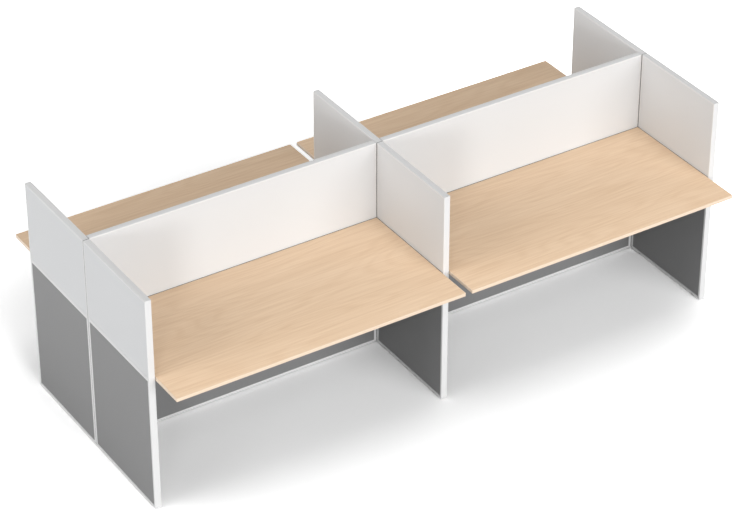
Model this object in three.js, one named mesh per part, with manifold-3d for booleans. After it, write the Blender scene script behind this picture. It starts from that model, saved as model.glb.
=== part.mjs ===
// Double-sided benching desk: a spine wall with three cross walls and four worktops.
// Millimetres, +Z up. The origin is on the floor, in the middle of the spine.
import * as THREE from "three";
import { mergeVertices } from "three/addons/utils/BufferGeometryUtils.js";
import Module from "manifold-3d";

const wasm = await Module();
wasm.setup();

// Worktops
const WORKTOP_LENGTH = 1600;
const WORKTOP_DEPTH = 800;
const WORKTOP_THICKNESS = 19;
const WORKTOP_HEIGHT = 768;
const WORKTOP_SIDE_GAP = 2.5;
const WORKTOP_BACK_GAP = 3;

// Walls: each module is an upper frame on a lower one, whose top rail starts just over the steel angles
const WALL_THICKNESS = 33;
const WALL_HEIGHT = 1204;
const WING_LENGTH = 602;
const RAIL_GAP = 1;
const FLOOR_GAP = 6;

// Frame profiles and the infill panels that their grooves hold
const LOWER_STRIP = 13;
const UPPER_STRIP = 8;
const GROOVE_DEPTH = 4;
const GROOVE_WIDTH = 14;
const PANEL_RECESS = 1;
const FIT = 0.3;

// Recessed strips that join the modules
const SPINE_JOINT = 2.5;
const SPINE_JOINT_RECESS = 2.2;
const SEAM_JOINT = 4;
const SEAM_JOINT_RECESS = 0.7;

// Steel angles under the worktops, on the faces of the infill panels
const BRACKET_LEG = 40;
const BRACKET_STEEL = 3;
const BRACKET_END_GAP = 8;

// Levelling feet
const FOOT_DIAMETER = 30;
const FOOT_CHAMFER = 1;
const STUD_DIAMETER = 8;
const STUD_POCKET_DIAMETER = 12;
const STUD_POCKET_CLEAR = 4;
const FOOT_TRAVEL = 12;
const FOOT_INSET = 70;
const ROUND_SIDES = 20;

// Places that follow from the sizes above
const BAY_CLEAR = WORKTOP_LENGTH + 2 * WORKTOP_SIDE_GAP;
const BAY_PITCH = BAY_CLEAR + WALL_THICKNESS;
const SPINE_LENGTH = BAY_CLEAR - 2 * SPINE_JOINT;
const SPINE_FACE = WALL_THICKNESS / 2;
const SEAM_Y = -SPINE_FACE;
const WING_BODY = WING_LENGTH - SEAM_JOINT / 2;
const WORKTOP_Y = SPINE_FACE + WORKTOP_BACK_GAP + WORKTOP_DEPTH / 2;
const WORKTOP_UNDERSIDE = WORKTOP_HEIGHT - WORKTOP_THICKNESS;
const LOWER_TOP = WORKTOP_UNDERSIDE + RAIL_GAP + LOWER_STRIP;
const BRACKET_NEAR_END = SPINE_FACE + SEAM_JOINT / 2 + LOWER_STRIP + BRACKET_END_GAP;
const BRACKET_FAR_END = WING_LENGTH - SPINE_FACE - LOWER_STRIP - BRACKET_END_GAP;
const BRACKET_LENGTH = BRACKET_FAR_END - BRACKET_NEAR_END;
const STUD_TOP = FLOOR_GAP + LOWER_STRIP + FOOT_TRAVEL;

const WHITE = { color: 0xeeeeec, roughness: 0.45, metalness: 0 };
const GREY = { color: 0x8c8c8c, roughness: 0.6, metalness: 0 };
const WOOD = { color: 0xdcc09e, roughness: 0.5, metalness: 0 };
const STEEL = { color: 0x9a9ca0, roughness: 0.35, metalness: 0.9 };
const DARK = { color: 0x55575a, roughness: 0.7, metalness: 0 };

// Closed solid from a geometry, placed at a point
function solid(geometry, x = 0, y = 0, z = 0) {
  geometry.deleteAttribute("normal");
  geometry.deleteAttribute("uv");
  geometry.translate(x, y, z);
  const merged = mergeVertices(geometry, 1e-4);
  return new wasm.Manifold(new wasm.Mesh({
    numProp: 3,
    vertProperties: new Float32Array(merged.attributes.position.array),
    triVerts: new Uint32Array(merged.index.array),
  }));
}

function block(length, depth, height, x = 0, y = 0, z = 0) {
  return solid(new THREE.BoxGeometry(length, depth, height), x, y, z);
}

// Upright round bar from one height to another
function bar(diameter, bottom, top, x) {
  const geometry = new THREE.CylinderGeometry(diameter / 2, diameter / 2, top - bottom, ROUND_SIDES);
  geometry.rotateX(Math.PI / 2);
  return solid(geometry, x, 0, (bottom + top) / 2);
}

function geometryOf(body) {
  const mesh = body.getMesh();
  const geometry = new THREE.BufferGeometry();
  geometry.setAttribute("position", new THREE.BufferAttribute(new Float32Array(mesh.vertProperties), 3));
  geometry.setIndex(new THREE.BufferAttribute(new Uint32Array(mesh.triVerts), 1));
  geometry.computeVertexNormals();
  return geometry;
}

const bench = new THREE.Group();
bench.name = "benching_desk";

function addPiece(parent, name, geometry, look) {
  const mesh = new THREE.Mesh(geometry, new THREE.MeshStandardMaterial(look));
  mesh.name = name;
  parent.add(mesh);
  return mesh;
}

// Ring frame with a groove around its opening, centred on x = 0, y = 0
function frameSolid(length, bottom, top, strip) {
  const height = top - bottom;
  const middle = (top + bottom) / 2;
  const openLength = length - 2 * strip;
  const openHeight = height - 2 * strip;
  const cutThrough = 2 * WALL_THICKNESS;
  const outside = block(length, WALL_THICKNESS, height, 0, 0, middle);
  const opening = block(openLength, cutThrough, openHeight, 0, 0, middle);
  const groove = block(
    openLength + 2 * GROOVE_DEPTH, GROOVE_WIDTH, openHeight + 2 * GROOVE_DEPTH, 0, 0, middle);
  return outside.subtract(opening).subtract(groove);
}

// Infill panel with a tongue all round, which sits in the frame's groove
function panelSolid(length, bottom, top, strip) {
  const height = top - bottom;
  const middle = (top + bottom) / 2;
  const openLength = length - 2 * strip;
  const openHeight = height - 2 * strip;
  const tongueReach = 2 * (GROOVE_DEPTH - FIT);
  const board = block(
    openLength - 2 * FIT, WALL_THICKNESS - 2 * PANEL_RECESS, openHeight - 2 * FIT, 0, 0, middle);
  const tongue = block(
    openLength + tongueReach, GROOVE_WIDTH - 2 * FIT, openHeight + tongueReach, 0, 0, middle);
  return board.add(tongue);
}

// One wall module along X, with holes for the studs of the feet below it
function wallModule(name, length, footPlaces) {
  const module = new THREE.Group();
  const lowerTop = LOWER_TOP - FIT / 2;
  const upperBottom = LOWER_TOP + FIT / 2;
  let lowerFrame = frameSolid(length, FLOOR_GAP, lowerTop, LOWER_STRIP);
  let lowerPanel = panelSolid(length, FLOOR_GAP, lowerTop, LOWER_STRIP);
  for (const x of footPlaces) {
    const pocketTop = STUD_TOP + STUD_POCKET_CLEAR;
    lowerFrame = lowerFrame.subtract(bar(STUD_DIAMETER + 2 * FIT, 0, FLOOR_GAP + LOWER_STRIP, x));
    lowerPanel = lowerPanel.subtract(bar(STUD_POCKET_DIAMETER, 0, pocketTop, x));
  }
  const upperFrame = frameSolid(length, upperBottom, WALL_HEIGHT, UPPER_STRIP);
  const upperPanel = panelSolid(length, upperBottom, WALL_HEIGHT, UPPER_STRIP);
  addPiece(module, `lower_frame_${name}`, geometryOf(lowerFrame), WHITE);
  addPiece(module, `lower_panel_${name}`, geometryOf(lowerPanel), GREY);
  addPiece(module, `upper_frame_${name}`, geometryOf(upperFrame), WHITE);
  addPiece(module, `upper_panel_${name}`, geometryOf(upperPanel), WHITE);
  return module;
}

// Recessed strip that fills the joint between two modules, along Y before it is turned
function joiningStrip(name, joint, recess) {
  const width = WALL_THICKNESS - 2 * recess;
  const height = WALL_HEIGHT - FLOOR_GAP - recess;
  const geometry = new THREE.BoxGeometry(joint - 2 * FIT, width, height);
  geometry.translate(0, 0, FLOOR_GAP + height / 2);
  return addPiece(bench, `joining_strip_${name}`, geometry, DARK);
}

// Levelling foot: pad and threaded stud in one
function footGeometry() {
  const padRadius = FOOT_DIAMETER / 2;
  const padTop = FLOOR_GAP - FIT;
  const studRadius = STUD_DIAMETER / 2;
  const profile = [
    new THREE.Vector2(0, 0),
    new THREE.Vector2(padRadius - FOOT_CHAMFER, 0),
    new THREE.Vector2(padRadius, FOOT_CHAMFER),
    new THREE.Vector2(padRadius, padTop),
    new THREE.Vector2(studRadius, padTop),
    new THREE.Vector2(studRadius, STUD_TOP - FOOT_CHAMFER),
    new THREE.Vector2(studRadius - FOOT_CHAMFER, STUD_TOP),
    new THREE.Vector2(0, STUD_TOP),
  ];
  const geometry = new THREE.LatheGeometry(profile, ROUND_SIDES);
  geometry.rotateX(Math.PI / 2);
  return geometry;
}

// Steel angle: one leg down the panel face at x = 0, one leg out along +X under the worktop
function bracketGeometry() {
  const outline = new THREE.Shape();
  outline.moveTo(0, 0);
  outline.lineTo(BRACKET_LEG, 0);
  outline.lineTo(BRACKET_LEG, -BRACKET_STEEL);
  outline.lineTo(BRACKET_STEEL, -BRACKET_STEEL);
  outline.lineTo(BRACKET_STEEL, -BRACKET_LEG);
  outline.lineTo(0, -BRACKET_LEG);
  outline.closePath();
  const geometry = new THREE.ExtrudeGeometry(outline, { depth: BRACKET_LENGTH, bevelEnabled: false });
  geometry.rotateX(Math.PI / 2);
  geometry.translate(0, BRACKET_LENGTH / 2, 0);
  return geometry;
}

const BAYS = [["left", -1], ["right", 1]];
const CROSS_WALLS = [["left", -1], ["mid", 0], ["right", 1]];
const SIDES = [["front", -1], ["back", 1]];

// Spine bays, with a joining strip at each end
for (const [bay, bayStep] of BAYS) {
  const bayMiddle = bayStep * BAY_PITCH / 2;
  const spine = wallModule(`spine_${bay}`, SPINE_LENGTH, []);
  spine.position.x = bayMiddle;
  bench.add(spine);
  for (const [end, endStep] of BAYS) {
    const strip = joiningStrip(`spine_${bay}_${end}`, SPINE_JOINT, SPINE_JOINT_RECESS);
    strip.position.x = bayMiddle + endStep * (BAY_CLEAR - SPINE_JOINT) / 2;
  }
}

// Cross walls: a front and a back wing that meet in line with the front face of the spine
for (const [wall, wallStep] of CROSS_WALLS) {
  const wallX = wallStep * BAY_PITCH;
  for (const [side, sideStep] of SIDES) {
    const outerEnd = sideStep * (WING_BODY / 2 - FOOT_INSET);
    const feet = side === "front" ? [["front", outerEnd], ["seam", -outerEnd]] : [["back", outerEnd]];
    const wing = wallModule(`wing_${wall}_${side}`, WING_BODY, feet.map(([, place]) => place));
    wing.rotation.z = Math.PI / 2;
    wing.position.set(wallX, SEAM_Y + sideStep * (SEAM_JOINT / 2 + WING_BODY / 2), 0);
    bench.add(wing);
    for (const [foot, place] of feet) {
      addPiece(wing, `foot_${wall}_${foot}`, footGeometry(), DARK).position.x = place;
    }
  }
  const strip = joiningStrip(`seam_${wall}`, SEAM_JOINT, SEAM_JOINT_RECESS);
  strip.rotation.z = Math.PI / 2;
  strip.position.set(wallX, SEAM_Y, 0);
}

// Worktops, each on two steel angles
for (const [bay, bayStep] of BAYS) {
  const bayMiddle = bayStep * BAY_PITCH / 2;
  for (const [side, sideStep] of SIDES) {
    const top = new THREE.BoxGeometry(WORKTOP_LENGTH, WORKTOP_DEPTH, WORKTOP_THICKNESS);
    addPiece(bench, `worktop_${bay}_${side}`, top, WOOD).position.set(
      bayMiddle, sideStep * WORKTOP_Y, WORKTOP_UNDERSIDE + WORKTOP_THICKNESS / 2);
    for (const [end, endStep] of BAYS) {
      const bracket = addPiece(bench, `bracket_${bay}_${side}_${end}`, bracketGeometry(), STEEL);
      bracket.rotation.z = endStep > 0 ? Math.PI : 0;
      bracket.position.set(
        bayMiddle + endStep * (BAY_CLEAR / 2 + PANEL_RECESS - FIT),
        sideStep * (BRACKET_NEAR_END + BRACKET_FAR_END) / 2,
        WORKTOP_UNDERSIDE - FIT);
    }
  }
}

export default bench;
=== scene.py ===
"""Looks of a double-sided benching desk with screen walls, in a plain pale studio."""

import math

import bmesh
import bpy
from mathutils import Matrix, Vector


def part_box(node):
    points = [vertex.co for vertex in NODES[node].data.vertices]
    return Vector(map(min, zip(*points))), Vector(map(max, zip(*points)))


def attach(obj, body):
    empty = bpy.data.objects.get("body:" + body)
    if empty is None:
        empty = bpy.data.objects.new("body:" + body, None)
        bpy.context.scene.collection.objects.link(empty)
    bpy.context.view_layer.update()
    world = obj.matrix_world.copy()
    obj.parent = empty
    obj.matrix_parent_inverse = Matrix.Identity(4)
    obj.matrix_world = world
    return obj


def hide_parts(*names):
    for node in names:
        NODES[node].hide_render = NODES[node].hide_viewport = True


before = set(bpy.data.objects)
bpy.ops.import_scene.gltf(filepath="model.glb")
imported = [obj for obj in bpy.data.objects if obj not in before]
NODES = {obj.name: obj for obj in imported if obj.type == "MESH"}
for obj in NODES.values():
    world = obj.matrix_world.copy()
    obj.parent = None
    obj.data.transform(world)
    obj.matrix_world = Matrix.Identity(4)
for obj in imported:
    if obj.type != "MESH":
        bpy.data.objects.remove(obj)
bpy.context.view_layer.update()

MM = 0.001
BODY = "bench"

# Camera, at the photograph's viewing angle
CAMERA_EYE = Vector((-6.5698, -10.2343, 8.5922))
CAMERA_AIM = Vector((-0.0285, 0.0, 0.5304))
CAMERA_LENS = 138.62
CAMERA_REACH = 200.0
SENSOR_WIDTH = 36.0

# Soft studio light: an even dome and far lamps, each with its azimuth, elevation, spread and level
DOME_LEVEL = 0.15
BACKDROP_LEVEL = 1.0
LIGHT_WHITE = (1.0, 1.0, 1.0, 1.0)
LAMPS = (
    ("front_lamp", 0.0, 14.0, 24.0, 0.434),
    ("front_high_lamp", 0.0, 45.0, 24.0, 0.119),
    ("front_right_lamp", 22.0, 14.0, 24.0, 0.253),
    ("front_left_low_lamp", -40.0, 6.0, 12.0, 0.228),
    ("left_low_lamp", -90.0, 6.0, 12.0, 0.113),
    ("left_wide_lamp", -90.0, 25.0, 50.0, 0.305),
    ("right_low_lamp", 90.0, 3.0, 6.0, 0.3),
    ("back_low_lamp", 180.0, 3.0, 6.0, 0.36),
    ("top_lamp", 0.0, 88.0, 31.0, 0.199),
)

# Floor: painted shade, a darker seen colour in an oval around the desk, whitening out to a larger oval
FLOOR_HALF = 40.0
FLOOR_SHADE_OVAL = Vector((1.46, 1.44))
FLOOR_SHADE_OVAL_BACK = 0.22
FLOOR_SHADE_OVAL_GROWTH = 1.8
FLOOR_SEEN_SHADED = (1.475, 1.475, 1.475)
FLOOR_FAR = (2.4, 2.4, 2.4)
FLOOR_BOUNCE = (0.4, 0.4, 0.4)

# Wall frames: mitred bars with a groove for the infill panel
STRIP = {"lower": 13 * MM, "upper": 8 * MM}
GROOVE_DEPTH = 4 * MM
GROOVE_WIDTH = 14 * MM
FRAME_ROUND = 1.2 * MM
MITRE_GAP = 0.12 * MM

# Edges that are only eased
PANEL_EASE = 0.5 * MM
STRIP_EASE = 0.6 * MM
BRACKET_EASE = 0.8 * MM
EASE_SEGMENTS = 2
EASE_ANGLE = 50.0
WELD_DISTANCE = 0.01 * MM

# Worktops: a laminated board with a bonded edge band
BAND_THICKNESS = 2 * MM
BAND_ROUND = 1.4 * MM
BAND_CORNER = 3 * MM
BOARD_EASE = 0.3 * MM
BACKING_THICKNESS = 0.8 * MM

# Dark strips in the gaps between the worktops and the walls: painted shade where those gaps fall in shadow
GAP_SHADE_RISE = 0.6 * MM
GAP_SHADE_DEPTH = 6 * MM
GAP_SHADE_CLEARANCE = 0.2 * MM
GAP_SHADE_END_INSET = 2 * MM
GAP_SHADE_ROUND_SHARE = 0.45

# Levelling feet
FLOOR_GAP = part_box("lower_frame_spine_left")[0].z
FOOT_GAP = 0.3 * MM
SOLE_HEIGHT = 1.8 * MM
SOLE_INSET = 1.2 * MM
PAD_ROUND = 0.8 * MM
STUD_RADIUS = 4 * MM
STUD_CLEARANCE = 0.3 * MM

# Stud thread, with the places along one pitch where its flanks start and end
THREAD_PITCH = 1.25 * MM
THREAD_DEPTH = 0.65 * MM
THREAD_RISE_START = 0.15
THREAD_RISE_END = 0.45
THREAD_FALL_START = 0.60
THREAD_FALL_END = 0.90

# Socket screws that hold the steel angles
SCREW_HEAD_RADIUS = 5 * MM
SCREW_HEAD_HEIGHT = 2.6 * MM
SCREW_SOCKET = 1.6 * MM
SCREW_SOCKET_DEPTH = 1.4 * MM
SCREWS_PER_LEG = 4
SCREW_END_INSET = 45 * MM
SCREW_FROM_HEEL = 24 * MM
BRACKET_STEEL = 3 * MM

# Screw dome: start and sweep in degrees, and its top in radians
SCREW_DOME_START = 8.0
SCREW_DOME_SWEEP = 62.0
SCREW_DOME_STEPS = 4
SCREW_DOME_TOP = 1.22

# Fineness of round shapes
ROUND_STEPS = 4
TURN_SIDES = 32
HOLE_SIDES = 24
SCREW_SIDES = 24
SMOOTH_ANGLE = 40.0

# Where the arc at each corner of an outline starts, in degrees
LOW_LEFT = 180.0
LOW_RIGHT = 270.0
HIGH_RIGHT = 0.0
HIGH_LEFT = 90.0

# Colours, in linear light
FRAME_WHITE = (0.738, 0.738, 0.738)
PANEL_WHITE = (0.682, 0.69, 0.699)
GREY = (0.209, 0.209, 0.21)
MAPLE_LIGHT = (0.824, 0.624, 0.44)
MAPLE_DARK = (0.714, 0.504, 0.331)
BAND_LIGHT = (0.837, 0.68, 0.53)
BAND_DARK = (0.78, 0.613, 0.462)
STRIP_GREY = (0.07, 0.07, 0.07)
# Dark grey of the strips that paint shade into the worktop gaps
GAP_SHADE_GREY = (0.09, 0.09, 0.09)
STEEL_GREY = (0.55, 0.555, 0.56)
ZINC = (0.62, 0.63, 0.65)
BLACK = (0.035, 0.035, 0.037)
BACKING = (0.70, 0.70, 0.69)

# Spans of a noise's values: most of it, and its middle
WIDE_SPAN = (0.3, 0.7)
NARROW_SPAN = (0.35, 0.65)

# Powder coat: clouding, orange peel and sheen
COAT_CLOUD_SCALE = 2.2
COAT_CLOUD_SHADE = 0.985
COAT_PEEL_SCALE = 900.0
COAT_PEEL_STRENGTH = 0.06
COAT_PEEL_HEIGHT = 0.2 * MM
COAT_SHEEN_SCALE = 40.0
COAT_SHEEN_DROP = 0.04
COAT_SHEEN_RISE = 0.05

# Laminate: clouding, flecks and pressed grain
LAMINATE_CLOUD_SCALE = 1.7
LAMINATE_CLOUD_SHADE = 0.975
LAMINATE_FLECK_SCALE = 650.0
LAMINATE_PRESS_SCALE = 1100.0
LAMINATE_PRESS_STRENGTH = 0.10
LAMINATE_PRESS_HEIGHT = 0.2 * MM

# Maple: stretches along the grain, across it and through the board, and the weight of each layer
MAPLE_SPECULAR = 0.2
MAPLE_SLOW_STRETCH = (0.5, 2.9, 1.0)
MAPLE_STREAK_STRETCH = (2.4, 95.0, 1.0)
MAPLE_PORE_STRETCH = (6.0, 420.0, 1.0)
MAPLE_BOARD_STRETCH = (0.25, 5.5, 1.0)
MAPLE_CONTOURS = 52.0
MAPLE_SWAY = 9.0
MAPLE_FIGURE_SPAN = (0.3, 1.0)
MAPLE_FIGURE_WEIGHT = 0.22
MAPLE_STREAK_SPAN = (0.32, 0.70)
MAPLE_STREAK_WEIGHT = 0.57
MAPLE_BOARD_WEIGHT = 0.14
MAPLE_PORE_SPAN = (0.62, 0.75)
MAPLE_PORE_WEIGHT = 0.35
MAPLE_PORE_SHADE = 0.82
MAPLE_PORE_STRENGTH = 0.12
MAPLE_PORE_DEPTH = 0.15 * MM
MAPLE_ROUGHNESS = (0.38, 0.47)

# Edge band: short streaks along it
BAND_STRETCH = (5.0, 5.0, 500.0)
BAND_STREAK_STRENGTH = 0.08
BAND_STREAK_HEIGHT = 0.1 * MM

# Moulded plastic and rubber: clouding and a spark-eroded grain
MOULDED_CLOUD_SCALE = 25.0
MOULDED_CLOUD_SHADE = 0.85
MOULDED_GRAIN_SCALE = 1500.0
MOULDED_GRAIN_STRENGTH = 0.2
MOULDED_GRAIN_HEIGHT = 0.1 * MM

# Zinc plate: spangle
ZINC_SPANGLE_SCALE = 420.0
ZINC_SPANGLE_SHADE = 0.88
ZINC_SHEEN_SCALE = 300.0
ZINC_ROUGHNESS = (0.28, 0.42)

# Places of the colour sockets on a Mix node
MIX_FIRST = 6
MIX_SECOND = 7
MIX_RESULT = 2


# Scene helpers
def add_object(name, data):
    made = bpy.data.objects.new(name, data)
    bpy.context.scene.collection.objects.link(made)
    return made


def nodes_with(text):
    return [name for name in NODES if text in name]


def middle(low, high):
    return (low.x + high.x) / 2, (low.y + high.y) / 2


# Node helpers
def add_node(tree, kind, **settings):
    node = tree.nodes.new(kind)
    for name, value in settings.items():
        setattr(node, name, value)
    return node


def set_inputs(node, values):
    for name, value in values.items():
        node.inputs[name].default_value = value


def new_material(name, color, roughness, metallic=0.0):
    made = bpy.data.materials.new(name)
    made.use_nodes = True
    shader = made.node_tree.nodes["Principled BSDF"]
    set_inputs(shader, {"Base Color": (*color, 1.0), "Roughness": roughness, "Metallic": metallic})
    return made, made.node_tree, shader


def scaled_position(tree, scale=(1.0, 1.0, 1.0), offset=(0.0, 0.0, 0.0)):
    place = add_node(tree, "ShaderNodeTexCoord")
    stretch = add_node(tree, "ShaderNodeMapping")
    set_inputs(stretch, {"Scale": scale, "Location": offset})
    tree.links.new(place.outputs["Object"], stretch.inputs["Vector"])
    return stretch.outputs["Vector"]


def noise(tree, vector, scale=1.0, detail=2.0, rough=0.5):
    made = add_node(tree, "ShaderNodeTexNoise")
    set_inputs(made, {"Scale": scale, "Detail": detail, "Roughness": rough})
    tree.links.new(vector, made.inputs["Vector"])
    return made.outputs["Fac"]


# Smooth step from one span of values to another
def remap(tree, value, span, to_span=(0.0, 1.0)):
    made = add_node(tree, "ShaderNodeMapRange", interpolation_type="SMOOTHSTEP")
    set_inputs(made, {"From Min": span[0], "From Max": span[1], "To Min": to_span[0], "To Max": to_span[1]})
    tree.links.new(value, made.inputs["Value"])
    return made.outputs["Result"]


def arithmetic(tree, operation, first, second):
    made = add_node(tree, "ShaderNodeMath", operation=operation)
    for socket, value in zip(made.inputs, (first, second)):
        if isinstance(value, float):
            socket.default_value = value
        else:
            tree.links.new(value, socket)
    return made.outputs["Value"]


def mix_colors(tree, factor, first, second):
    made = add_node(tree, "ShaderNodeMix", data_type="RGBA")
    tree.links.new(factor, made.inputs["Factor"])
    for place, value in ((MIX_FIRST, first), (MIX_SECOND, second)):
        if isinstance(value, tuple):
            made.inputs[place].default_value = (*value, 1.0)
        else:
            tree.links.new(value, made.inputs[place])
    return made.outputs[MIX_RESULT]


def add_bump(tree, shader, height, strength, distance):
    bump = add_node(tree, "ShaderNodeBump")
    set_inputs(bump, {"Strength": strength, "Distance": distance})
    tree.links.new(height, bump.inputs["Height"])
    tree.links.new(bump.outputs["Normal"], shader.inputs["Normal"])


def darker(color, share):
    return tuple(channel * share for channel in color)


# Adds a value to a vector's Y, so that straight grain bends with it
def bend(tree, vector, amount):
    shift = add_node(tree, "ShaderNodeCombineXYZ")
    tree.links.new(amount, shift.inputs["Y"])
    moved = add_node(tree, "ShaderNodeVectorMath", operation="ADD")
    tree.links.new(vector, moved.inputs[0])
    tree.links.new(shift.outputs["Vector"], moved.inputs[1])
    return moved.outputs["Vector"]


# Powder coat: orange peel, a little uneven in tone
def coat_material(name, color, roughness):
    made, tree, shader = new_material(name, color, roughness)
    position = scaled_position(tree)
    cloud = remap(tree, noise(tree, position, COAT_CLOUD_SCALE, detail=3.0), WIDE_SPAN)
    tone = mix_colors(tree, cloud, darker(color, COAT_CLOUD_SHADE), color)
    tree.links.new(tone, shader.inputs["Base Color"])
    peel = noise(tree, position, COAT_PEEL_SCALE, detail=1.0)
    add_bump(tree, shader, peel, COAT_PEEL_STRENGTH, COAT_PEEL_HEIGHT)
    patches = noise(tree, position, COAT_SHEEN_SCALE, detail=3.0)
    sheen = remap(tree, patches, WIDE_SPAN, (roughness - COAT_SHEEN_DROP, roughness + COAT_SHEEN_RISE))
    tree.links.new(sheen, shader.inputs["Roughness"])
    return made


# Laminate: fine pressed grain and faint clouding
def laminate_material(name, color, roughness, speckle):
    made, tree, shader = new_material(name, color, roughness)
    position = scaled_position(tree)
    cloud = remap(tree, noise(tree, position, LAMINATE_CLOUD_SCALE, detail=4.0), WIDE_SPAN)
    base = mix_colors(tree, cloud, darker(color, LAMINATE_CLOUD_SHADE), color)
    grain = remap(tree, noise(tree, position, LAMINATE_FLECK_SCALE), NARROW_SPAN)
    fleck = mix_colors(tree, grain, darker(color, 1.0 - speckle), base)
    tree.links.new(fleck, shader.inputs["Base Color"])
    press = noise(tree, position, LAMINATE_PRESS_SCALE)
    add_bump(tree, shader, press, LAMINATE_PRESS_STRENGTH, LAMINATE_PRESS_HEIGHT)
    return made


# Maple: contour lines of a slow stretched noise give the plain-sawn figure, with fine streaks and pores
def maple_material():
    made, tree, shader = new_material("maple_laminate", MAPLE_LIGHT, roughness=0.42)
    set_inputs(shader, {"Specular IOR Level": MAPLE_SPECULAR})
    slow = noise(tree, scaled_position(tree, MAPLE_SLOW_STRETCH), rough=0.4)
    contour = arithmetic(tree, "PINGPONG", arithmetic(tree, "MULTIPLY", slow, MAPLE_CONTOURS), 1.0)
    sway = arithmetic(tree, "MULTIPLY", slow, MAPLE_SWAY)
    grain_path = bend(tree, scaled_position(tree, MAPLE_STREAK_STRETCH), sway)
    streaks = noise(tree, grain_path, detail=4.0, rough=0.65)
    pores = noise(tree, scaled_position(tree, MAPLE_PORE_STRETCH), rough=0.6)
    boards = noise(tree, scaled_position(tree, MAPLE_BOARD_STRETCH), detail=1.0)

    figure = remap(tree, contour, MAPLE_FIGURE_SPAN)
    weight = arithmetic(tree, "MULTIPLY", figure, MAPLE_FIGURE_WEIGHT)
    streak_weight = remap(tree, streaks, MAPLE_STREAK_SPAN, (0.0, MAPLE_STREAK_WEIGHT))
    weight = arithmetic(tree, "ADD", weight, streak_weight)
    board_weight = remap(tree, boards, NARROW_SPAN, (0.0, MAPLE_BOARD_WEIGHT))
    weight = arithmetic(tree, "ADD", weight, board_weight)
    tone = mix_colors(tree, weight, MAPLE_LIGHT, MAPLE_DARK)
    pore_weight = remap(tree, pores, MAPLE_PORE_SPAN, (0.0, MAPLE_PORE_WEIGHT))
    tone = mix_colors(tree, pore_weight, tone, darker(MAPLE_DARK, MAPLE_PORE_SHADE))
    tree.links.new(tone, shader.inputs["Base Color"])
    add_bump(tree, shader, pores, MAPLE_PORE_STRENGTH, MAPLE_PORE_DEPTH)
    tree.links.new(remap(tree, streaks, WIDE_SPAN, MAPLE_ROUGHNESS), shader.inputs["Roughness"])
    return made


# Edge band: paler than the top, with short streaks along it
def band_material():
    made, tree, shader = new_material("maple_edge_band", BAND_LIGHT, roughness=0.45)
    streaks = noise(tree, scaled_position(tree, BAND_STRETCH), detail=3.0, rough=0.6)
    tone = mix_colors(tree, remap(tree, streaks, WIDE_SPAN), BAND_LIGHT, BAND_DARK)
    tree.links.new(tone, shader.inputs["Base Color"])
    add_bump(tree, shader, streaks, BAND_STREAK_STRENGTH, BAND_STREAK_HEIGHT)
    return made


# Moulded plastic or rubber with a fine spark-eroded grain
def moulded_material(name, color, roughness):
    made, tree, shader = new_material(name, color, roughness)
    position = scaled_position(tree)
    cloud = remap(tree, noise(tree, position, MOULDED_CLOUD_SCALE, detail=3.0), WIDE_SPAN)
    tone = mix_colors(tree, cloud, darker(color, MOULDED_CLOUD_SHADE), color)
    tree.links.new(tone, shader.inputs["Base Color"])
    grain = noise(tree, position, MOULDED_GRAIN_SCALE, detail=1.0)
    add_bump(tree, shader, grain, MOULDED_GRAIN_STRENGTH, MOULDED_GRAIN_HEIGHT)
    return made


# Zinc-plated steel with faint spangle
def zinc_material():
    made, tree, shader = new_material("zinc_plate", ZINC, roughness=0.34, metallic=1.0)
    position = scaled_position(tree)
    spangle = remap(tree, noise(tree, position, ZINC_SPANGLE_SCALE), NARROW_SPAN)
    tone = mix_colors(tree, spangle, darker(ZINC, ZINC_SPANGLE_SHADE), ZINC)
    tree.links.new(tone, shader.inputs["Base Color"])
    sheen = remap(tree, noise(tree, position, ZINC_SHEEN_SCALE), WIDE_SPAN, ZINC_ROUGHNESS)
    tree.links.new(sheen, shader.inputs["Roughness"])
    return made


# One for what the camera sees, straight or in a reflection, and none for light thrown back
def seen_rays(tree):
    rays = add_node(tree, "ShaderNodeLightPath").outputs
    mirrored = arithmetic(tree, "MAXIMUM", rays["Is Glossy Ray"], rays["Is Transmission Ray"])
    return arithmetic(tree, "MAXIMUM", rays["Is Camera Ray"], mirrored)


# Floor: white to the camera, with painted shade in a darker oval around the desk that whitens away from it,
# and darker in the light it throws back
def floor_material():
    made, tree, shader = new_material("studio_floor", FLOOR_BOUNCE, roughness=0.9)
    set_inputs(shader, {"Specular IOR Level": 0.0})
    scale = (1.0 / FLOOR_SHADE_OVAL.x, 1.0 / FLOOR_SHADE_OVAL.y, 1.0)
    offset = (0.0, -FLOOR_SHADE_OVAL_BACK / FLOOR_SHADE_OVAL.y, 0.0)
    away = add_node(tree, "ShaderNodeVectorMath", operation="LENGTH")
    tree.links.new(scaled_position(tree, scale, offset), away.inputs[0])
    # Painted shade: the seen colour is darker inside the oval around the desk and whitens outside it
    shade_fade = remap(tree, away.outputs["Value"], (1.0, FLOOR_SHADE_OVAL_GROWTH))
    seen = mix_colors(tree, shade_fade, FLOOR_SEEN_SHADED, FLOOR_FAR)
    tone = mix_colors(tree, seen_rays(tree), FLOOR_BOUNCE, seen)
    tree.links.new(tone, shader.inputs["Base Color"])
    return made


# Studio
def make_camera():
    data = bpy.data.cameras.new("camera")
    data.lens = CAMERA_LENS
    data.sensor_width = SENSOR_WIDTH
    data.sensor_fit = "HORIZONTAL"
    data.clip_end = CAMERA_REACH
    camera = add_object("camera", data)
    camera.location = CAMERA_EYE
    camera.rotation_euler = (CAMERA_AIM - CAMERA_EYE).to_track_quat("-Z", "Y").to_euler()
    bpy.context.scene.camera = camera


def make_floor():
    half = FLOOR_HALF
    mesh = bpy.data.meshes.new("studio_floor")
    corners = [(-half, -half, 0.0), (half, -half, 0.0), (half, half, 0.0), (-half, half, 0.0)]
    mesh.from_pydata(corners, [], [(0, 1, 2, 3)])
    mesh.materials.append(floor_material())
    floor = add_object("studio_floor", mesh)


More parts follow.
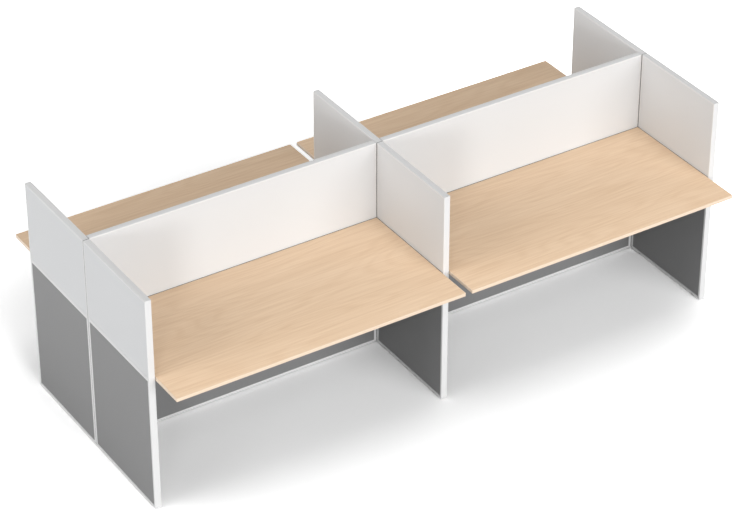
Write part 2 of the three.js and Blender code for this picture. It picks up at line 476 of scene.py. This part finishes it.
def make_world():
    world = bpy.data.worlds.new("studio")
    bpy.context.scene.world = world
    world.use_nodes = True
    tree = world.node_tree
    dome = tree.nodes["Background"]
    set_inputs(dome, {"Color": LIGHT_WHITE, "Strength": DOME_LEVEL})
    backdrop = add_node(tree, "ShaderNodeBackground")
    set_inputs(backdrop, {"Color": LIGHT_WHITE, "Strength": BACKDROP_LEVEL})
    seen = add_node(tree, "ShaderNodeMixShader")
    tree.links.new(seen_rays(tree), seen.inputs["Fac"])
    tree.links.new(dome.outputs["Background"], seen.inputs[1])
    tree.links.new(backdrop.outputs["Background"], seen.inputs[2])
    tree.links.new(seen.outputs["Shader"], tree.nodes["World Output"].inputs["Surface"])


# Reflections show the white surroundings and not the lamps, so no view has glare on the worktops
def make_lamps():
    for name, azimuth, elevation, spread, level in LAMPS:
        turned = math.radians(azimuth)
        raised = math.radians(elevation)
        flat = math.cos(raised)
        towards = Vector((math.sin(turned) * flat, -math.cos(turned) * flat, math.sin(raised)))
        data = bpy.data.lights.new(name, "SUN")
        data.angle = math.radians(spread)
        data.energy = level * math.pi
        lamp = add_object(name, data)
        lamp.rotation_euler = (-towards).to_track_quat("-Z", "Y").to_euler()
        lamp.visible_glossy = False


# Mesh helpers
def new_mesh(name, build):
    mesh = bpy.data.meshes.new(name)
    work = bmesh.new()
    build(work)
    bmesh.ops.recalc_face_normals(work, faces=work.faces)
    work.to_mesh(mesh)
    work.free()
    return mesh


def mesh_piece(name, build, looks, body=BODY):
    mesh = new_mesh(name, build)
    mesh.materials.append(looks)
    mesh.shade_smooth()
    mesh.set_sharp_from_angle(angle=math.radians(SMOOTH_ANGLE))
    piece = add_object(name, mesh)
    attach(piece, body)
    return piece


def ring_angles(sides):
    return [2 * math.pi * k / sides for k in range(sides)]


# Sides of a skin between each ring of points and the next
def join_rings(work, pairs):
    for first, second in pairs:
        for i in range(len(first)):
            j = (i + 1) % len(first)
            work.faces.new((first[i], first[j], second[j], second[i]))


# Closed skin over rings of points; the two end rings are capped
def loft(work, rings):
    made = [[work.verts.new(point) for point in ring] for ring in rings]
    join_rings(work, zip(made, made[1:]))
    work.faces.new(made[0])
    work.faces.new(list(reversed(made[-1])))


# Closed skin over rings of points that join up into a loop
def loft_loop(work, rings):
    made = [[work.verts.new(point) for point in ring] for ring in rings]
    join_rings(work, zip(made, made[1:] + made[:1]))


# Quarter-round points for one corner of an outline, turning anticlockwise
def corner_arc(centre_u, centre_v, radius, start_degrees):
    points = []
    for k in range(ROUND_STEPS + 1):
        angle = math.radians(start_degrees + 90.0 * k / ROUND_STEPS)
        points.append((centre_u + radius * math.cos(angle), centre_v + radius * math.sin(angle)))
    return points


# A CAD solid that keeps its shape, with eased edges and a finish
def finish_node(name, looks, ease):
    node = NODES[name]
    node.data.materials.clear()
    node.data.materials.append(looks)
    weld = node.modifiers.new("weld", "WELD")
    weld.merge_threshold = WELD_DISTANCE
    bevel = node.modifiers.new("ease", "BEVEL")
    bevel.width = ease
    bevel.segments = EASE_SEGMENTS
    bevel.limit_method = "ANGLE"
    bevel.angle_limit = math.radians(EASE_ANGLE)


# Frame bar section: u runs in from the outer edge, v runs through the wall
def bar_section(strip, thickness):
    half = thickness / 2
    r = FRAME_ROUND
    groove = GROOVE_WIDTH / 2
    section = corner_arc(r, -half + r, r, LOW_LEFT)
    section += corner_arc(strip - r, -half + r, r, LOW_RIGHT)
    section += [(strip, -groove), (strip - GROOVE_DEPTH, -groove)]
    section += [(strip - GROOVE_DEPTH, groove), (strip, groove)]
    section += corner_arc(strip - r, half - r, r, HIGH_RIGHT)
    section += corner_arc(r, half - r, r, HIGH_LEFT)
    return section


# Four mitred bars around the module's outline
def build_frame(work, low, high, strip):
    size = high - low
    centre = (low + high) / 2
    along_x = size.x > size.y
    length = size.x if along_x else size.y
    thickness = size.y if along_x else size.x
    section = bar_section(strip, thickness)

    def place(run, rise, through):
        if along_x:
            return Vector((low.x + run, centre.y + through, low.z + rise))
        return Vector((centre.x + through, low.y + run, low.z + rise))

    def rail(rise_of):
        near = [place(u + MITRE_GAP, rise_of(u), v) for u, v in section]
        far = [place(length - u - MITRE_GAP, rise_of(u), v) for u, v in section]
        loft(work, [near, far])

    def stile(run_of):
        near = [place(run_of(u), u + MITRE_GAP, v) for u, v in section]
        far = [place(run_of(u), size.z - u - MITRE_GAP, v) for u, v in section]
        loft(work, [near, far])

    rail(lambda u: u)
    rail(lambda u: size.z - u)
    stile(lambda u: u)
    stile(lambda u: length - u)


# Round hole through a piece, cut with a throwaway bar
def drill(piece, x, y, radius, bottom, top):
    def build_bar(work):
        rings = []
        for height in (bottom, top):
            ring = []
            for angle in ring_angles(HOLE_SIDES):
                ring.append(Vector((x + radius * math.cos(angle), y + radius * math.sin(angle), height)))
            rings.append(ring)
        loft(work, rings)

    mesh = new_mesh("drill", build_bar)
    cutter = add_object("drill", mesh)
    cut = piece.modifiers.new("drill", "BOOLEAN")
    cut.operation = "DIFFERENCE"
    cut.solver = "EXACT"
    cut.object = cutter
    graph = bpy.context.evaluated_depsgraph_get()
    drilled = bpy.data.meshes.new_from_object(piece.evaluated_get(graph))
    piece.modifiers.clear()
    piece.data = drilled
    bpy.data.objects.remove(cutter)
    bpy.data.meshes.remove(mesh)


# Worktop outline with rounded corners, set in from the node's box
def plan_outline(low, high, inset, corner):
    x0, y0 = low.x + inset + corner, low.y + inset + corner
    x1, y1 = high.x - inset - corner, high.y - inset - corner
    outline = corner_arc(x0, y0, corner, LOW_LEFT)
    outline += corner_arc(x1, y0, corner, LOW_RIGHT)
    outline += corner_arc(x1, y1, corner, HIGH_RIGHT)
    outline += corner_arc(x0, y1, corner, HIGH_LEFT)
    return outline


# Flat sheet between two heights inside the edge band, with eased edges
def build_sheet(work, low, high, bottom, top):
    corner = BAND_CORNER - BAND_THICKNESS
    levels = [
        (bottom, BOARD_EASE),
        (bottom + BOARD_EASE, 0.0),
        (top - BOARD_EASE, 0.0),
        (top, BOARD_EASE),
    ]
    rings = []
    for height, ease in levels:
        outline = plan_outline(low, high, BAND_THICKNESS + ease, corner)
        rings.append([Vector((x, y, height)) for x, y in outline])
    loft(work, rings)


# Edge band around the board, with rounded outer edges
def build_band(work, low, high):
    r = BAND_ROUND
    profile = corner_arc(r, low.z + r, r, LOW_LEFT)
    profile += [(BAND_THICKNESS, low.z), (BAND_THICKNESS, high.z)]
    profile += corner_arc(r, high.z - r, r, HIGH_LEFT)
    outlines = [plan_outline(low, high, inset, BAND_CORNER - inset) for inset, _ in profile]
    rings = []
    for k in range(len(outlines[0])):
        rings.append([Vector((*outline[k], height)) for outline, (_, height) in zip(outlines, profile)])
    loft_loop(work, rings)


# Upright strip with a rounded top, running along the longer side of its plan
def build_strip(work, x0, x1, y0, y1, bottom, top):
    along_x = x1 - x0 > y1 - y0
    width = y1 - y0 if along_x else x1 - x0
    r = GAP_SHADE_ROUND_SHARE * width
    section = [(0.0, bottom), (width, bottom)]
    section += corner_arc(width - r, top - r, r, HIGH_RIGHT)
    section += corner_arc(r, top - r, r, HIGH_LEFT)
    if along_x:
        rings = [[Vector((x, y0 + across, height)) for across, height in section] for x in (x0, x1)]
    else:
        rings = [[Vector((x0 + across, y, height)) for across, height in section] for y in (y0, y1)]
    loft(work, rings)


# Dark strip along the spine and both wings, in the gaps around a worktop: painted shade in those gaps
def build_gap_shade(work, name, low, high):
    _, bay, side = name.split("_")
    left, right = ("left", "mid") if bay == "left" else ("mid", "right")
    left_low, left_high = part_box(f"lower_frame_wing_{left}_{side}")
    right_low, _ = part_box(f"lower_frame_wing_{right}_{side}")
    spine_low, spine_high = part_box(f"lower_frame_spine_{bay}")
    gap = GAP_SHADE_CLEARANCE
    bottom, top = high.z - GAP_SHADE_DEPTH, high.z + GAP_SHADE_RISE
    if side == "front":
        spine_gap = (high.y + gap, spine_low.y - gap)
        wing_run = (left_low.y + GAP_SHADE_END_INSET, high.y)
    else:
        spine_gap = (spine_high.y + gap, low.y - gap)
        wing_run = (low.y, left_high.y - GAP_SHADE_END_INSET)
    build_strip(work, left_high.x + gap, right_low.x - gap, *spine_gap, bottom, top)
    build_strip(work, left_high.x + gap, low.x - gap, *wing_run, bottom, top)
    build_strip(work, high.x + gap, right_low.x - gap, *wing_run, bottom, top)


# Turned solid about an upright axis, capped at both ends of its profile
def turn(work, centre, profile):
    rings = []
    for radius, height in profile:
        ring = []
        for angle in ring_angles(TURN_SIDES):
            ring.append(centre + Vector((radius * math.cos(angle), radius * math.sin(angle), height)))
        rings.append(ring)
    loft(work, rings)


# Foot pad with a narrower sole
def build_pad(work, centre, radius, top):
    r = PAD_ROUND
    sole = radius - SOLE_INSET
    profile = [(sole - r, 0.0), (sole, r), (sole, SOLE_HEIGHT), (radius - r, SOLE_HEIGHT)]
    profile += [(radius, SOLE_HEIGHT + r), (radius, top - r), (radius - r, top), (STUD_RADIUS + r, top)]
    turn(work, centre, profile)


# Threaded stud with a chamfered end
def build_stud(work, centre, bottom, top):
    root = STUD_RADIUS - THREAD_DEPTH
    profile = [(root, bottom)]
    height = bottom
    while height + THREAD_PITCH < top - THREAD_PITCH:
        profile.append((root, height + THREAD_RISE_START * THREAD_PITCH))
        profile.append((STUD_RADIUS, height + THREAD_RISE_END * THREAD_PITCH))
        profile.append((STUD_RADIUS, height + THREAD_FALL_START * THREAD_PITCH))
        profile.append((root, height + THREAD_FALL_END * THREAD_PITCH))
        height += THREAD_PITCH
    profile.append((root, top - THREAD_DEPTH))
    profile.append((STUD_RADIUS - 2 * THREAD_DEPTH, top))
    turn(work, centre, profile)


def hexagon_reach(angle, radius):
    sixth = math.pi / 3
    return radius / math.cos((angle % sixth) - sixth / 2)


# Domed screw head with a hexagon socket, seated at a point and facing a direction
def build_screw(work, seat, facing):
    turn_to = Vector((0.0, 0.0, 1.0)).rotation_difference(facing)
    socket_floor = SCREW_HEAD_HEIGHT - SCREW_SOCKET_DEPTH
    levels = [(SCREW_HEAD_RADIUS, 0.0, False)]
    for k in range(SCREW_DOME_STEPS + 1):
        angle = math.radians(SCREW_DOME_START + SCREW_DOME_SWEEP * k / SCREW_DOME_STEPS)
        radius = SCREW_HEAD_RADIUS * math.cos(angle)
        height = SCREW_HEAD_HEIGHT * math.sin(angle) / math.sin(SCREW_DOME_TOP)
        levels.append((radius, height, False))
    levels.append((SCREW_SOCKET, SCREW_HEAD_HEIGHT, True))
    levels.append((SCREW_SOCKET, socket_floor, True))
    rings = []
    for radius, height, is_socket in levels:
        ring = []
        for angle in ring_angles(SCREW_SIDES):
            reach = hexagon_reach(angle, radius) if is_socket else radius
            point = Vector((reach * math.cos(angle), reach * math.sin(angle), height))
            ring.append(seat + turn_to @ point)
        rings.append(ring)
    loft(work, rings)


# Screws through both legs of a steel angle
def build_bracket_screws(work, low, high, wall_on_left):
    step = (high.y - low.y - 2 * SCREW_END_INSET) / (SCREWS_PER_LEG - 1)
    heel = low.x if wall_on_left else high.x
    inward = 1.0 if wall_on_left else -1.0
    for k in range(SCREWS_PER_LEG):
        y = low.y + SCREW_END_INSET + step * k
        under = Vector((heel + inward * SCREW_FROM_HEEL, y, high.z - BRACKET_STEEL))
        build_screw(work, under, Vector((0.0, 0.0, -1.0)))
        beside = Vector((heel + inward * BRACKET_STEEL, y, high.z - SCREW_FROM_HEEL))
        build_screw(work, beside, Vector((inward, 0.0, 0.0)))


# Assembly
def dress_frames():
    coat = coat_material("white_powder_coat", FRAME_WHITE, roughness=0.42)
    studs = [middle(*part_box(name)) for name in nodes_with("foot_")]
    for name in nodes_with("_frame_"):
        layer = name.split("_")[0]
        low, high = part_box(name)
        strip = STRIP[layer]
        piece = mesh_piece(f"{name}_bars", lambda work: build_frame(work, low, high, strip), coat)
        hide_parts(name)
        for x, y in studs:
            if layer == "lower" and low.x < x < high.x and low.y < y < high.y:
                drill(piece, x, y, STUD_RADIUS + STUD_CLEARANCE, 0.0, low.z + strip)


def dress_panels():
    white_board = laminate_material("white_laminate", PANEL_WHITE, roughness=0.5, speckle=0.015)
    grey_board = laminate_material("grey_laminate", GREY, roughness=0.55, speckle=0.06)
    strip_looks = moulded_material("dark_joining_strip", STRIP_GREY, roughness=0.6)
    for name in nodes_with("upper_panel_"):
        finish_node(name, white_board, PANEL_EASE)
    for name in nodes_with("lower_panel_"):
        finish_node(name, grey_board, PANEL_EASE)
    for name in nodes_with("joining_strip_"):
        finish_node(name, strip_looks, STRIP_EASE)


def dress_worktops():
    maple = maple_material()
    band_looks = band_material()
    backing_looks = laminate_material("backing_laminate", BACKING, roughness=0.6, speckle=0.04)
    # Painted shade: dark strips in the gaps between the worktops and the walls
    gap_shade_looks = moulded_material("painted_gap_shade", GAP_SHADE_GREY, roughness=0.6)
    for name in nodes_with("worktop_"):
        low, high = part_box(name)
        seam = low.z + BACKING_THICKNESS
        board = mesh_piece(f"{name}_board", lambda work: build_sheet(work, low, high, seam, high.z), maple)
        backing = mesh_piece(
            f"{name}_backing", lambda work: build_sheet(work, low, high, low.z, seam), backing_looks)
        band = mesh_piece(f"{name}_edge_band", lambda work: build_band(work, low, high), band_looks)
        for piece in (board, backing, band):
            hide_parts(name)
        gap_shade = mesh_piece(f"{name}_seal", lambda work: build_gap_shade(work, name, low, high), gap_shade_looks)


def dress_brackets(zinc):
    steel = coat_material("grey_powder_coat", STEEL_GREY, roughness=0.45)
    for name in nodes_with("bracket_"):
        finish_node(name, steel, BRACKET_EASE)
        low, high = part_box(name)
        on_left = name.endswith("_left")
        screws = mesh_piece(
            f"{name}_screws", lambda work: build_bracket_screws(work, low, high, on_left), zinc)


def dress_feet(zinc):
    rubber = moulded_material("black_rubber", BLACK, roughness=0.7)
    pad_top = FLOOR_GAP - FOOT_GAP
    for name in nodes_with("foot_"):
        low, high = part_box(name)
        centre = Vector((*middle(low, high), 0.0))
        radius = (high.x - low.x) / 2
        pad = mesh_piece(
            f"{name}_pad", lambda work: build_pad(work, centre, radius, pad_top), rubber, body=name)
        stud = mesh_piece(
            f"{name}_stud", lambda work: build_stud(work, centre, pad_top, high.z), zinc, body=name)
        for piece in (pad, stud):
            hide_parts(name)


make_camera()
make_floor()
make_world()
make_lamps()
dress_frames()
dress_panels()
dress_worktops()
zinc_plate = zinc_material()
dress_brackets(zinc_plate)
dress_feet(zinc_plate)

bpy.context.scene.view_settings.view_transform = "Standard"
